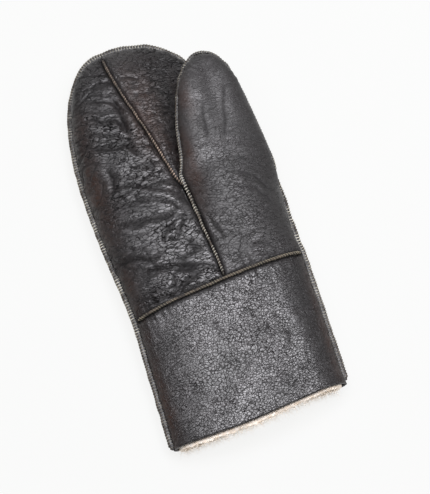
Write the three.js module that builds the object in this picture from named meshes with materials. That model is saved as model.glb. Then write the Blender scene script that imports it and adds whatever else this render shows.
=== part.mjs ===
// Shearling mitten for a right hand, lying palm up with its thumb folded on the palm.
// Two leather panels make the back, two make the palm and one the front of the thumb, and a two-piece cuff
// is sewn on below them. Every panel is a leather wall, and the wool shows as a lining inside the cuff.
// The edges are sewn outside: each seam stands out as a low ridge of raw edges bound with thread.
// Millimetres, +X towards the thumb, +Y towards the fingertips, +Z up from the table.
import * as THREE from "three";

// Sizes of the leather, flat on the table.
const cuffLength = 99;
const cuffWidth = 132;
const handLength = 197;
const handWidth = 134;
const thumbLength = 99;
const thumbWidth = 60;
const crotchAlong = 71;
const crotchAcross = -9;
const thumbLeavesSide = -9;

// Heights above the table.
const cuffMouthHeight = 28;
const cuffHeight = 33;
const handHeight = 39;
const sideSeamHeight = 13;
const thumbBaseHeight = 26;
const thumbThickness = 26;
const thumbDip = 13;

// Walls, clearances and seams.
const leather = 2;
const fleece = 5.5;
const liningDepth = 91.5;
const woolOverhang = 2.5;
const seamGap = 0.45;
const liningGap = 0.5;
const ridgeWidth = 2.8;
const ridgeHeight = 2.4;
const ridgeGap = 0.35;
const crotchRadius = 1.1;

// How far the cuff is skewed, as a slope, and how far its mouth bows out, less on the underside.
const mouthSlope = 0.1;
const seamSlope = 0.13;
const mouthBow = 5;
const underSetBack = 7;

// Outline of the hand: shares of half its width and of its length, from the cuff seam up.
const littleFingerSide = [
  { across: -0.975, along: 0 },
  { across: -1.0, along: 0.076 },
  { across: -1.05, along: 0.23 },
  { across: -1.08, along: 0.39 },
  { across: -1.09, along: 0.51 },
  { across: -1.075, along: 0.63 },
  { across: -1.02, along: 0.75 },
  { across: -0.93, along: 0.85 },
  { across: -0.828, along: 0.913 },
  { across: -0.79, along: 0.93 },
];
const fingertips = [
  { across: -0.758, along: 0.947 },
  { across: -0.64, along: 0.981 },
  { across: -0.45, along: 0.999 },
  { across: -0.22, along: 1.0 },
  { across: -0.03, along: 0.989 },
  { across: 0.15, along: 0.96 },
];
const forefingerSide = [
  { across: 0.955, along: 0 },
  { across: 0.944, along: 0.08 },
  { across: 0.93, along: 0.16 },
  { across: 0.918, along: 0.235 },
  { across: 0.9, along: 0.31 },
  { across: 0.85, along: 0.42 },
  { across: 0.78, along: 0.52 },
  { across: 0.69, along: 0.63 },
  { across: 0.58, along: 0.74 },
  { across: 0.45, along: 0.84 },
  { across: 0.3, along: 0.915 },
];

// The long seams: share of the way up the hand, and share of the way across it.
const palmSeamLine = [
  { along: 0, across: 0.535 },
  { along: 0.14, across: 0.526 },
  { along: 0.26, across: 0.512 },
  { along: 0.36, across: 0.5 },
  { along: 0.46, across: 0.476 },
  { along: 0.6, across: 0.451 },
  { along: 0.8, across: 0.385 },
  { along: 1, across: 0.31 },
];
const backSeamLine = [
  { along: 0, across: 0.56 },
  { along: 0.5, across: 0.61 },
  { along: 1, across: 0.72 },
];

// Edge of the thumb from its crotch: shares of its width, length and thickness.
const thumbPalmEdge = [
  { across: 0.05, along: 0.09, up: 0.52 },
  { across: 0.117, along: 0.2, up: 0.54 },
  { across: 0.187, along: 0.453, up: 0.56 },
  { across: 0.29, along: 0.681, up: 0.54 },
  { across: 0.367, along: 0.792, up: 0.512 },
  { across: 0.395, along: 0.823, up: 0.5 },
];
const thumbTip = [
  { across: 0.425, along: 0.854, up: 0.49 },
  { across: 0.52, along: 0.932, up: 0.46 },
  { across: 0.64, along: 0.985, up: 0.42 },
  { across: 0.765, along: 0.993, up: 0.38 },
  { across: 0.885, along: 0.952, up: 0.34 },
];
const thumbOuterEdge = [
  { across: 1.17, along: 0.06, up: -0.16 },
  { across: 1.165, along: 0.164, up: -0.02 },
  { across: 1.15, along: 0.292, up: 0.07 },
  { across: 1.125, along: 0.42, up: 0.14 },
  { across: 1.095, along: 0.56, up: 0.19 },
  { across: 1.06, along: 0.7, up: 0.25 },
  { across: 0.99, along: 0.86, up: 0.3 },
];

// Folds and dents: ends as shares of half the hand's width and of its length, depth and half width in mm.
// A row with a negative depth stands up as a soft swelling.
const palmFolds = [
  { x0: -1.05, y0: 0.66, x1: -0.42, y1: 0.6, depth: 2.2, spread: 6 },
  { x0: -0.95, y0: 0.5, x1: -0.3, y1: 0.45, depth: 1.8, spread: 6 },
  { x0: -0.75, y0: 0.56, x1: -0.5, y1: 0.74, depth: 1.6, spread: 7 },
  { x0: -0.9, y0: 0.3, x1: -0.15, y1: 0.2, depth: 2.2, spread: 6 },
  { x0: -0.95, y0: 0.08, x1: -0.1, y1: 0.12, depth: 1.8, spread: 6 },
  { x0: -0.7, y0: 0.4, x1: -0.2, y1: 0.33, depth: -1.6, spread: 9 },
  { x0: -0.8, y0: 0.2, x1: -0.4, y1: 0.15, depth: -1.2, spread: 9 },
  { x0: -0.5, y0: 0.88, x1: -0.1, y1: 0.86, depth: -1.2, spread: 12 },
];
const thumbFolds = [
  { x0: 0.52, y0: 0.78, x1: 0.48, y1: 0.56, depth: 2.6, spread: 6 },
  { x0: 0.3, y0: 0.66, x1: 0.34, y1: 0.5, depth: 1.2, spread: 5 },
  { x0: 0.5, y0: 0.4, x1: 0.82, y1: 0.34, depth: 1.6, spread: 6 },
  { x0: 0.35, y0: 0.06, x1: 0.8, y1: 0.09, depth: 1.6, spread: 6 },
];
const cuffFolds = [
  { x0: -0.6, y0: -0.3, x1: 0.1, y1: -0.22, depth: -1.2, spread: 14 },
  { x0: 0.3, y0: -0.1, x1: 0.55, y1: -0.5, depth: 1.6, spread: 8 },
  { x0: -0.75, y0: -0.08, x1: -0.8, y1: -0.4, depth: 1.2, spread: 7 },
];

const leatherBrown = new THREE.MeshStandardMaterial({ color: 0x342d2b, roughness: 0.42, metalness: 0 });
const cuffBrown = new THREE.MeshStandardMaterial({ color: 0x3a3536, roughness: 0.4, metalness: 0 });
const boundEdge = new THREE.MeshStandardMaterial({ color: 0x8f8069, roughness: 0.8, metalness: 0 });
const wool = new THREE.MeshStandardMaterial({ color: 0xe6d6c6, roughness: 0.95, metalness: 0 });

const lerp = THREE.MathUtils.lerp;
const step = (from, to, x) => THREE.MathUtils.smoothstep(x, from, to);
const halfHand = handWidth / 2;
const halfCuff = cuffWidth / 2;
const seamLineAt = (x) => cuffLength + seamSlope * x;

// Value of a table's column at a share of the way, rounded through its rows.
function tableAt(rows, share, key, value) {
  const last = rows.length - 1;
  let i = 0;
  while (i < last - 1 && rows[i + 1][key] < share) i += 1;
  const [a, b] = [rows[i], rows[i + 1]];
  const t = (share - a[key]) / (b[key] - a[key]);
  const slope = (lo, hi) => (rows[hi][value] - rows[lo][value]) / (rows[hi][key] - rows[lo][key]);
  const m0 = slope(Math.max(i - 1, 0), i + 1);
  const m1 = slope(i, Math.min(i + 2, last));
  const h = b[key] - a[key];
  const [t2, t3] = [t * t, t * t * t];
  return (2 * t3 - 3 * t2 + 1) * a[value] + (t3 - 2 * t2 + t) * h * m0
    + (3 * t2 - 2 * t3) * b[value] + (t3 - t2) * h * m1;
}

function curveThrough(points) {
  const curve = new THREE.CatmullRomCurve3(points, false, "centripetal");
  curve.arcLengthDivisions = 400;
  return (share) => curve.getPointAt(THREE.MathUtils.clamp(share, 0, 1));
}

// A sheet stretched between four edges: bottom and top run across, left and right run up.
function stretched(bottom, top, left, right) {
  const [p00, p10, p01, p11] = [bottom(0), bottom(1), top(0), top(1)];
  return (u, v) => {
    const p = bottom(u).multiplyScalar(1 - v).addScaledVector(top(u), v);
    p.addScaledVector(left(v), 1 - u).addScaledVector(right(v), u);
    p.addScaledVector(p00, -(1 - u) * (1 - v)).addScaledVector(p10, -u * (1 - v));
    return p.addScaledVector(p01, -(1 - u) * v).addScaledVector(p11, -u * v);
  };
}

function outlinePoint(row) {
  const x = row.across * halfHand;
  const y = row.along === 0 ? seamLineAt(x) + seamGap / 2 : cuffLength + row.along * handLength;
  return new THREE.Vector3(x, y, sideSeamHeight * (1 - 0.2 * row.along));
}
const handLeftPoints = littleFingerSide.map(outlinePoint);
const handRightPoints = forefingerSide.map(outlinePoint);
const tipPoints = [handLeftPoints.at(-1), ...fingertips.map(outlinePoint), handRightPoints.at(-1)];
const handLeft = curveThrough(handLeftPoints);
const handRight = curveThrough(handRightPoints);
const handTip = curveThrough(tipPoints);
const handBottom = (u) => new THREE.Vector3().lerpVectors(handLeftPoints[0], handRightPoints[0], u);
const handOutline = stretched(handBottom, handTip, handLeft, handRight);
const handSpan = (v) => handLeft(v).distanceTo(handRight(v));

const crotch = new THREE.Vector3(crotchAcross, cuffLength + crotchAlong, 0);
function thumbPoint(row) {
  return new THREE.Vector3(
    crotch.x + row.across * thumbWidth,
    crotch.y + row.along * thumbLength,
    thumbBaseHeight + row.up * thumbThickness,
  );
}

// Rounded rise from an edge: 0 and upright at the edge, 1 in the middle.
const rounded = (share, power) => Math.sqrt(Math.max(0, 1 - Math.abs(share) ** power));
const acrossPalm = (u) => rounded(2 * u - 1, 2.6);
const bothWays = (a, b) => a * b / Math.sqrt(a * a + b * b - a * a * b * b + 1e-12);

function foldsAt(table, x, y) {
  let depth = 0;
  for (const f of table) {
    const ax = f.x0 * halfHand;
    const ay = cuffLength + f.y0 * handLength;
    const [dx, dy] = [f.x1 * halfHand - ax, cuffLength + f.y1 * handLength - ay];
    const t = THREE.MathUtils.clamp(((x - ax) * dx + (y - ay) * dy) / (dx * dx + dy * dy), 0, 1);
    const away = Math.hypot(x - ax - t * dx, y - ay - t * dy);
    depth += f.depth * Math.exp(-((away / f.spread) ** 2));
  }
  return depth;
}

// The hollow that the thumb's weight presses into the palm.
function dipUnderThumb(x, y) {
  const along = (y - crotch.y) / thumbLength;
  const middle = crotch.x + thumbWidth * lerp(0.55, 0.66, THREE.MathUtils.clamp(along, 0, 1));
  const away = Math.abs(x - middle) / (thumbWidth / 2);
  const beside = x > middle ? 1 : 1 - step(0.45, 1.3, away);
  return thumbDip * beside * step(-0.35, 0.05, along) * (1 - step(0.85, 1.25, along));
}

// Under the thumb the palm's shoulder is pressed flatter towards the side seam.
function shoulderUnderThumb(u, y) {
  const along = (y - crotch.y) / thumbLength;
  return 0.55 * step(0.72, 0.98, u) * step(-0.25, -0.03, along) * (1 - step(0.7, 1.2, along));
}

function palmSurface(u, v) {
  const p = handOutline(u, v);
  const dome = bothWays(acrossPalm(u), rounded(v, 3.2)) * (1 - shoulderUnderThumb(u, p.y));
  const height = lerp(cuffHeight, handHeight, step(0, 0.35, v)) - 0.05 * handHeight * step(0.5, 1, v);
  p.z += seamGap / 2 + dome * (height - p.z - dipUnderThumb(p.x, p.y) - foldsAt(palmFolds, p.x, p.y));
  return p;
}

// Flat on the table in the middle, lifted along each seam so that the ridge has room under the leather.
const seamLift = ridgeHeight + ridgeGap + 0.15;
const nearSeam = (away) => (Math.abs(away) < 15 ? seamLift * Math.exp(-((away / 5) ** 2)) : 0);
function backSurface(u, v) {
  const p = handOutline(u, v);
  const flat = bothWays(rounded(2 * u - 1, 5), rounded(v, 6));
  const side = tableAt(backSeamLine, v, "along", "across");
  const toLongSeam = (u - side) * handSpan(v);
  const toCuffSeam = p.y - seamLineAt(p.x);
  const lift = Math.max(nearSeam(toLongSeam), nearSeam(toCuffSeam));
  p.z = Math.max(lift, (p.z - seamGap / 2) * (1 - 1.05 * flat));
  return p;
}

// The cuff's four edges. The mouth bows out between its corners.
const cuffCorner = (side) => (
  new THREE.Vector3(side * halfCuff, side * halfCuff * mouthSlope, sideSeamHeight * 0.72)
);
const cuffTopPoint = (u) => {
  const p = handBottom(u);
  p.y -= seamGap;
  return p;
};
const cuffMouth = (u) => {
  const p = new THREE.Vector3().lerpVectors(cuffCorner(-1), cuffCorner(1), u);
  p.y -= mouthBow * Math.sin(Math.PI * u) * lerp(1.5, 0.5, u);
  return p;
};
const cuffSide = (u) => (v) => new THREE.Vector3().lerpVectors(cuffMouth(u), cuffTopPoint(u), v);
const cuffOutline = stretched(cuffMouth, cuffTopPoint, cuffSide(0), cuffSide(1));

function cuffPalmSurface(u, v) {
  const p = cuffOutline(u, v);
  const height = lerp(cuffMouthHeight, cuffHeight, v ** 1.5) - foldsAt(cuffFolds, p.x, p.y) * (1 - v ** 6);
  p.z += seamGap / 2 + acrossPalm(u) * (height - p.z);
  return p;
}

const setBackAt = (u, v) => underSetBack * Math.sin(Math.PI * u) * (1 - v) ** 2;
function cuffBackSurface(u, v) {
  const p = cuffOutline(u, v);
  p.y += setBackAt(u, v);
  const flat = rounded(2 * u - 1, 5);
  const lift = nearSeam(seamLineAt(p.x) - p.y);
  const edge = p.z - seamGap / 2;
  p.z = Math.max(lift, edge * (1 - 1.05 * flat));
  return p;
}

const palmSeamShare = (v) => tableAt(palmSeamLine, v, "along", "across");
const backSeamShare = (v) => tableAt(backSeamLine, v, "along", "across");
const halfGapShare = (v) => seamGap / 2 / handSpan(v);

// Share of the way up the hand's left or right edge, or up the palm seam, at which a height along is reached.
function shareAtAlong(pointAt, y) {
  let [low, high] = [0, 1];
  for (let i = 0; i < 40; i += 1) {
    const mid = (low + high) / 2;
    if (pointAt(mid).y < y) low = mid;
    else high = mid;
  }
  return (low + high) / 2;
}
const palmSeamPoint = (v) => palmSurface(palmSeamShare(v), v);
const crotchShare = shareAtAlong(palmSeamPoint, crotch.y);
const crotchOuterShare = shareAtAlong(handRight, crotch.y + thumbLeavesSide);

// The thumb's palm edge follows the palm seam up to the crotch, and then rises clear of the palm.
const leaveShares = [0, 0.2, 0.4, 0.6, 0.8, 0.92];
function besidePalmSeam(share) {
  const v = share * crotchShare;
  return palmSurface(palmSeamShare(v) + halfGapShare(v), v);
}
const crotchHeight = palmSeamPoint(crotchShare).z;
const stackHeight = 2 * crotchRadius + leather + seamGap;
const raised = (p) => new THREE.Vector3(p.x, p.y, Math.max(p.z, crotchHeight + stackHeight));
const thumbLeftPoints = [
  ...leaveShares.map(besidePalmSeam),
  raised(new THREE.Vector3(besidePalmSeam(1).x + 0.6, crotch.y + 3.5, 0)),
  ...thumbPalmEdge.map((row) => raised(thumbPoint(row))),
];
const besideHandEdge = (share) => {
  const p = handRight(share * crotchOuterShare);
  p.z += seamGap / 2;
  return p;
};
const clearOfFold = besideHandEdge(0.99);
clearOfFold.z += 2 * crotchRadius + 3.5 * seamGap;
const thumbRightPoints = [...leaveShares.map(besideHandEdge), clearOfFold, ...thumbOuterEdge.map(thumbPoint)];
const thumbTipPoints = [thumbLeftPoints.at(-1), ...thumbTip.map(thumbPoint), thumbRightPoints.at(-1)];
const thumbLeft = curveThrough(thumbLeftPoints);
const thumbRight = curveThrough(thumbRightPoints);
const thumbTop = curveThrough(thumbTipPoints);
const thumbBottom = (s) => new THREE.Vector3().lerpVectors(thumbLeftPoints[0], thumbRightPoints[0], s);
const thumbOutline = stretched(thumbBottom, thumbTop, thumbLeft, thumbRight);
const thumbLeaves = shareAtAlong(thumbLeft, crotch.y);

function thumbSurface(s, t) {
  const p = thumbOutline(s, t);
  const [left, right] = [thumbLeft(t).z, thumbRight(t).z];
  const free = step(thumbLeaves - 0.06, thumbLeaves + 0.14, t);
  const past = Math.max(0, (t - thumbLeaves) / (1 - thumbLeaves));
  const swell = 14 * step(0, thumbLeaves, t) * 4 * s * (1 - s);
  const lowRise = (left - right) * (rounded(s, 2.6) - (1 - s)) + swell;
  const dome = bothWays(rounded(2 * s - 1, 2.4), rounded(past, 3.4));
  const crown = thumbThickness * lerp(0.72, 0.6, past) * dome;
  const rise = lerp(lowRise, crown, free);
  const tuck = 6 * s ** 5 * (1 - s ** 12) * step(0.1, 0.4, t) * (1 - past ** 3);
  p.x += tuck;
  p.z += rise - foldsAt(thumbFolds, p.x, p.y) * Math.min(1, rise / 8);
  return p;
}

// Inner palm panel: from the fingertips down the palm, round the crotch and up the underside of the thumb.
const crotchLine = (s) => lerp(crotchShare, crotchOuterShare, s) + 0.02;
function palmUnderThumb(s, v) {
  const from = palmSeamShare(v) + halfGapShare(v);
  return palmSurface(lerp(from, 1, s), v);
}
const foldRadius = (s) => crotchRadius * (1 - 0.5 * s ** 4);
function crotchPoint(s) {
  const p = palmUnderThumb(s, crotchLine(s));
  p.z += 2 * foldRadius(s);
  return p;
}
function lowered(edge, from, start) {
  return (share) => {
    const p = edge(lerp(from, 1, share));
    p.z -= seamGap;
    return p.lerp(start, (1 - step(0, 0.1, share)));
  };
}
const thumbRightLeaves = shareAtAlong(thumbRight, clearOfFold.y);
const underLeft = lowered(thumbLeft, thumbLeaves + 0.03, crotchPoint(0));
const underRight = lowered(thumbRight, thumbRightLeaves, crotchPoint(1));
const underTop = (s) => {
  const p = thumbTop(s);
  p.z -= seamGap;
  return p;
};
const underOutline = stretched(crotchPoint, underTop, underLeft, underRight);

// Shares up and across the hand of a place on the palm, by a few steps of Newton's method.
function palmSharesAt(x, y) {
  let [u, v] = [0.8, 0.6];
  const h = 1e-3;
  for (let i = 0; i < 14; i += 1) {
    const p = handOutline(u, v);
    const [pu, pv] = [handOutline(u + h, v), handOutline(u, v + h)];
    const [a, b, c, d] = [(pu.x - p.x) / h, (pv.x - p.x) / h, (pu.y - p.y) / h, (pv.y - p.y) / h];
    const det = a * d - b * c;
    const [ex, ey] = [x - p.x, y - p.y];
    u = THREE.MathUtils.clamp(u + (d * ex - b * ey) / det, 0, 1);
    v = THREE.MathUtils.clamp(v + (a * ey - c * ex) / det, 0, 1 - h);
  }
  return [u, v];
}
function underThumbSurface(s, t) {
  const p = underOutline(s, t);
  const belly = 0.42 * thumbThickness * bothWays(rounded(2 * s - 1, 2.2), rounded(t, 4)) * step(0, 0.06, t);
  const [u, v] = palmSharesAt(p.x, p.y);
  const floor = palmSurface(u, v).z + lerp(2 * foldRadius(s), 0.8, step(0, 0.4, t));
  p.z = Math.max(p.z - belly, Math.min(p.z, floor));
  return p;
}
const palmPart = 0.5;
const foldPart = 0.12;
function innerPalmSurface(s, t) {
  if (t <= palmPart) return palmUnderThumb(s, lerp(1, crotchLine(s), t / palmPart));
  if (t < palmPart + foldPart) {
    const turn = Math.PI * (t - palmPart) / foldPart;
    const p = palmUnderThumb(s, crotchLine(s));
    p.y -= foldRadius(s) * Math.sin(turn);
    p.z += foldRadius(s) * (1 - Math.cos(turn));
    return p;
  }
  return underThumbSurface(s, (t - palmPart - foldPart) / (1 - palmPart - foldPart));
}

// Spacings of the rows and columns of a panel: even, or closer together where the leather turns an edge.
const even = (count) => Array.from({ length: count + 1 }, (_, i) => i / count);
const closeAtBothEnds = (count) => even(count).map((x) => (1 - Math.cos(Math.PI * x)) / 2);
const closeAtStart = (count) => even(count).map((x) => 1 - Math.cos(Math.PI * x / 2));
const closeAtEnd = (count) => even(count).map((x) => (x + Math.sin(Math.PI * x / 2)) / 2);

function outward(surface, s, t, side) {
  const h = 2e-3;
  const du = surface(Math.min(s + h, 1), t).sub(surface(Math.max(s - h, 0), t));
  const dv = surface(s, Math.min(t + h, 1)).sub(surface(s, Math.max(t - h, 0)));
  return du.cross(dv).normalize().multiplyScalar(side);
}

function meshOf(name, points, index, material) {
  const geometry = new THREE.BufferGeometry();
  const positions = points.flatMap((p) => [p.x, p.y, p.z]);
  geometry.setAttribute("position", new THREE.Float32BufferAttribute(positions, 3));
  geometry.setIndex(index);
  geometry.computeVertexNormals();
  const mesh = new THREE.Mesh(geometry, material);
  mesh.name = name;
  return mesh;
}

// A closed wall between an outer and an inner grid of points, with its four edges closed.
function wallFromGrids(name, outer, inner, side, material) {
  const [rows, columns] = [outer.length, outer[0].length];
  const at = (layer, r, c) => (layer * rows + r) * columns + c;
  const index = [];
  const quad = (a, b, c, d) => {
    const corners = side > 0 ? [a, b, c, a, c, d] : [a, c, b, a, d, c];
    index.push(...corners);
  };
  for (let r = 0; r < rows - 1; r += 1) {
    for (let c = 0; c < columns - 1; c += 1) {
      quad(at(0, r, c), at(0, r, c + 1), at(0, r + 1, c + 1), at(0, r + 1, c));
      quad(at(1, r, c), at(1, r + 1, c), at(1, r + 1, c + 1), at(1, r, c + 1));
    }
    quad(at(0, r, 0), at(0, r + 1, 0), at(1, r + 1, 0), at(1, r, 0));
    quad(at(0, r + 1, columns - 1), at(0, r, columns - 1), at(1, r, columns - 1), at(1, r + 1, columns - 1));
  }
  for (let c = 0; c < columns - 1; c += 1) {
    quad(at(0, 0, c + 1), at(0, 0, c), at(1, 0, c), at(1, 0, c + 1));
    quad(at(0, rows - 1, c), at(0, rows - 1, c + 1), at(1, rows - 1, c + 1), at(1, rows - 1, c));
  }
  return meshOf(name, [...outer.flat(), ...inner.flat()], index, material);
}

// Where a panel meets another, its cut edge lies in the plane between them.
const levelPlane = new THREE.Vector3(0, 0, 1);
const cuffPlane = new THREE.Vector3(-seamSlope, 1, 0).normalize();
const crotchPlane = new THREE.Vector3(1, 0, 0);

// At a panel's corners, where two edges run almost in line, the way out is taken a little inside them.
const atCorner = (s, t) => (s === 0 || s === 1) && (t === 0 || t === 1);
const insideCorner = 0.03;

// A leather wall whose outer face is the surface. Side is 1 where the surface's own normal points out.
function panel(name, surface, columns, rows, side, material, planesAt, facingAt = (s, t) => t) {
  const outer = rows.map((t) => columns.map((s) => surface(s, t)));
  const inner = rows.map((t, r) => columns.map((s, c) => {
    const inset = atCorner(s, t) ? insideCorner : 0;
    const out = outward(surface, lerp(s, 0.5, inset), lerp(facingAt(s, t), 0.5, inset), side);
    for (const plane of planesAt(s, t)) out.projectOnPlane(plane).normalize();
    return outer[r][c].clone().addScaledVector(out, -leather);
  }));
  return wallFromGrids(name, outer, inner, side, material);
}

// The bound ridge of a seam: a low arch swept along a line of places, each with the way that it stands out.
function ridge(name, places, stand = ridgeGap) {
  const arch = [[-0.28, 0], [-0.5, 0.55], [0, 1], [0.5, 0.55], [0.28, 0]];
  const rings = places.map(({ point, out }, i) => {
    const before = places[Math.max(i - 1, 0)].point;
    const after = places[Math.min(i + 1, places.length - 1)].point;
    const along = after.clone().sub(before).normalize();
    const across = new THREE.Vector3().crossVectors(along, out).normalize();
    const up = new THREE.Vector3().crossVectors(across, along).normalize();
    return arch.map(([a, b]) => (
      point.clone().addScaledVector(up, stand + b * ridgeHeight).addScaledVector(across, a * ridgeWidth)
    ));
  });
  const count = arch.length;
  const index = [];
  for (let i = 0; i < rings.length - 1; i += 1) {
    for (let j = 0; j < count; j += 1) {
      const [a, b] = [i * count + j, i * count + (j + 1) % count];
      index.push(a, b + count, a + count, a, b, b + count);
    }
  }
  const end = (rings.length - 1) * count;
  for (let j = 1; j < count - 1; j += 1) {
    index.push(0, j + 1, j, end, end + j, end + j + 1);
  }
  return meshOf(name, rings.flat(), index, boundEdge);
}

function sideSeam() {
  const cuffEdge = (side) => (v) => new THREE.Vector3().lerpVectors(cuffMouth(side), cuffTopPoint(side), v);
  const left = [...even(14).slice(0, -1).map(cuffEdge(0)), ...even(28).slice(0, -1).map(handLeft)];
  const tip = even(16).slice(0, -1).map(handTip);
  const right = [...even(26).reverse().slice(0, -1).map(handRight), ...even(14).reverse().map(cuffEdge(1))];
  const line = [...left, ...tip, ...right];
  const mouthClear = 0.4;
  line[0].y += mouthClear;
  line.at(-1).y += mouthClear;
  return ridge("side_seam", line.map((point, i) => {
    const along = line[Math.min(i + 1, line.length - 1)].clone().sub(line[Math.max(i - 1, 0)]);
    const aboveCuff = step(cuffLength + 2, cuffLength + 16, point.y);
    const belowThumb = 1 - step(crotch.y - 20, crotch.y + 10, point.y);
    const under = point.x > 0 ? -0.4 * aboveCuff * belowThumb : 0;
    return { point, out: new THREE.Vector3(-along.y, along.x, under * along.length()).normalize() };
  }));
}

function surfacePlaces(surfaces, side) {
  return surfaces.map(([surface, s, t]) => ({
    point: surface(s, t),
    out: outward(surface, s, t, side),
  }));
}

// From the fingertips down the palm, ending under the thumb's edge at the crotch.
function palmSeam() {
  const start = crotchShare + 0.045;
  return ridge("palm_seam", surfacePlaces(even(24).map((k) => {
    const v = lerp(start, 0.975, k);
    return [palmSurface, palmSeamShare(v), v];
  }), 1));
}

// From the cuff up the palm, then round the free thumb and back to the side seam.
function thumbSeam() {
  const onPalm = even(14).slice(0, -1).map((k) => {
    const v = lerp(0.02, crotchShare - 0.03, k);
    const out = outward(palmSurface, palmSeamShare(v), v, 1);
    out.x -= 0.3 * step(0, crotchShare, v);
    return { point: palmSurface(palmSeamShare(v), v), out: out.normalize() };
  });
  const up = even(20).map((k) => thumbLeft(lerp(thumbLeaves + 0.02, 1, k)));
  const over = even(12).slice(1).map(thumbTop);
  const down = even(18).slice(1).map((k) => thumbRight(lerp(1, thumbRightLeaves + 0.13, k)));
  const line = [...up, ...over, ...down];
  const free = line.map((place, i) => {
    const along = line[Math.min(i + 1, line.length - 1)].clone().sub(line[Math.max(i - 1, 0)]);
    const tilt = lerp(0.8, 0.1, step(0, up.length * 0.5, i));
    const drop = 0.75 * step(up.length + over.length - 6, up.length + over.length + 4, i);
    const out = new THREE.Vector3(-along.y, along.x, (tilt - drop) * along.length());
    return { point: new THREE.Vector3(place.x, place.y, place.z - seamGap / 2), out: out.normalize() };
  });
  return ridge("thumb_seam", [...onPalm, ...free], 2 * ridgeGap);
}

function cuffSeam(name, surface, side) {
  const [from, to] = [0.012, 0.988];
  const shares = closeAtBothEnds(26).map((k) => lerp(from, to, k));
  return ridge(name, surfacePlaces(shares.map((u) => [surface, u, 1]), side).map((place) => {
    place.point.y += seamGap / 2;
    place.out.y = 0;
    place.out.normalize();
    return place;
  }));
}

function backSeam() {
  const [from, to] = [0.022, 0.965];
  const places = even(26).map((k) => {
    const v = lerp(from, to, k);
    return { point: backSurface(backSeamShare(v), v), out: outward(backSurface, backSeamShare(v), v, -1) };
  });
  return ridge("back_seam", places);
}

// The wool inside the cuff: a sleeve between two loops, set in from the leather by a side and a face inset.
function liningLoop(sideInset, faceInset, v, around) {
  const top = around <= 1;
  const u = top ? around : 2 - around;
  const p = cuffOutline(u, v);
  p.y -= woolOverhang * (1 - step(0, 0.05, v));
  p.x -= (2 * u - 1) * sideInset;
  const height = lerp(cuffMouthHeight, cuffHeight, v ** 1.5) - foldsAt(cuffFolds, p.x, p.y);
  const rise = height - faceInset - p.z;
  const floor = faceInset + seamLift * step(0.85, 0.97, v);
  if (top) p.z += acrossPalm(u) * rise;
  else {
    p.y += setBackAt(u, v);
    p.z -= rounded(2 * u - 1, 3.2) * (p.z - floor);
  }
  return p;
}

function cuffLining() {
  const rows = [0, 0.06, 0.2, 0.4, 0.6, 0.78, 0.87, liningDepth / cuffLength];
  const half = closeAtBothEnds(18);
  const around = [...half, ...half.slice(1, -1).reverse().map((x) => 2 - x)];
  const clear = leather + liningGap;
  const loop = (side, face) => rows.map((v) => around.map((a) => liningLoop(side, face, v, a)));
  const outer = loop(clear + 0.6, clear + 0.6);
  const inner = loop(clear + fleece + 1.5, clear + fleece);
  const count = around.length;
  const last = rows.length - 1;
  const at = (layer, r, c) => (layer * rows.length + r) * count + c % count;
  const index = [];
  const quad = (a, b, c, d) => index.push(a, b, c, a, c, d);
  for (let c = 0; c < count; c += 1) {
    for (let r = 0; r < last; r += 1) {
      quad(at(0, r, c), at(0, r, c + 1), at(0, r + 1, c + 1), at(0, r + 1, c));
      quad(at(1, r, c), at(1, r + 1, c), at(1, r + 1, c + 1), at(1, r, c + 1));
    }
    quad(at(0, 0, c + 1), at(0, 0, c), at(1, 0, c), at(1, 0, c + 1));
    quad(at(0, last, c), at(0, last, c + 1), at(1, last, c + 1), at(1, last, c));
  }
  return meshOf("cuff_fleece_lining", [...outer.flat(), ...inner.flat()], index, wool);
}

// Panels between seams: shares across run from one seam to the next.
const outerPalm = (s, t) => palmSurface(s * (palmSeamShare(t) - halfGapShare(t)), t);
const outerBack = (s, t) => backSurface(s * (backSeamShare(t) - halfGapShare(t)), t);
const innerBack = (s, t) => backSurface(lerp(backSeamShare(t) + halfGapShare(t), 1, s), t);

const palmRows = closeAtEnd(26);
const innerRows = [
  ...closeAtStart(12).map((t) => t * palmPart),
  ...even(4).slice(1, -1).map((t) => palmPart + t * foldPart),
  ...closeAtEnd(12).map((t) => palmPart + foldPart + t * (1 - palmPart - foldPart)),
];

// The planes that a panel's edges lie in, from the edges that it has: s and t are 0 or 1 there.
const handPlanes = (left, right) => (s, t) => [
  ...((s === 0 && left) || (s === 1 && right) || t === 1 ? [levelPlane] : []),
  ...(t === 0 ? [cuffPlane] : []),
];
const cuffPlanes = (s, t) => [...(s === 0 || s === 1 ? [levelPlane] : []), ...(t === 1 ? [cuffPlane] : [])];
const thumbPlanes = (s, t) => [
  ...((s === 0 && t > thumbLeaves) || s === 1 || t === 1 ? [levelPlane] : []),
  ...(t === 0 ? [cuffPlane] : []),
];
const innerPalmPlanes = (s, t) => {
  if (s === 0 && t > palmPart - 0.01 && t < palmPart + foldPart) return [crotchPlane];
  return s === 1 || t === 0 || t === 1 || (s === 0 && t > palmPart) ? [levelPlane] : [];
};
// The fold's outer end faces the same way as the palm's edge below it.
const innerPalmFacing = (s, t) => (
  s === 1 && t > palmPart - 0.02 && t < palmPart + foldPart + 0.03 ? palmPart - 0.02 : t
);

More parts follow.
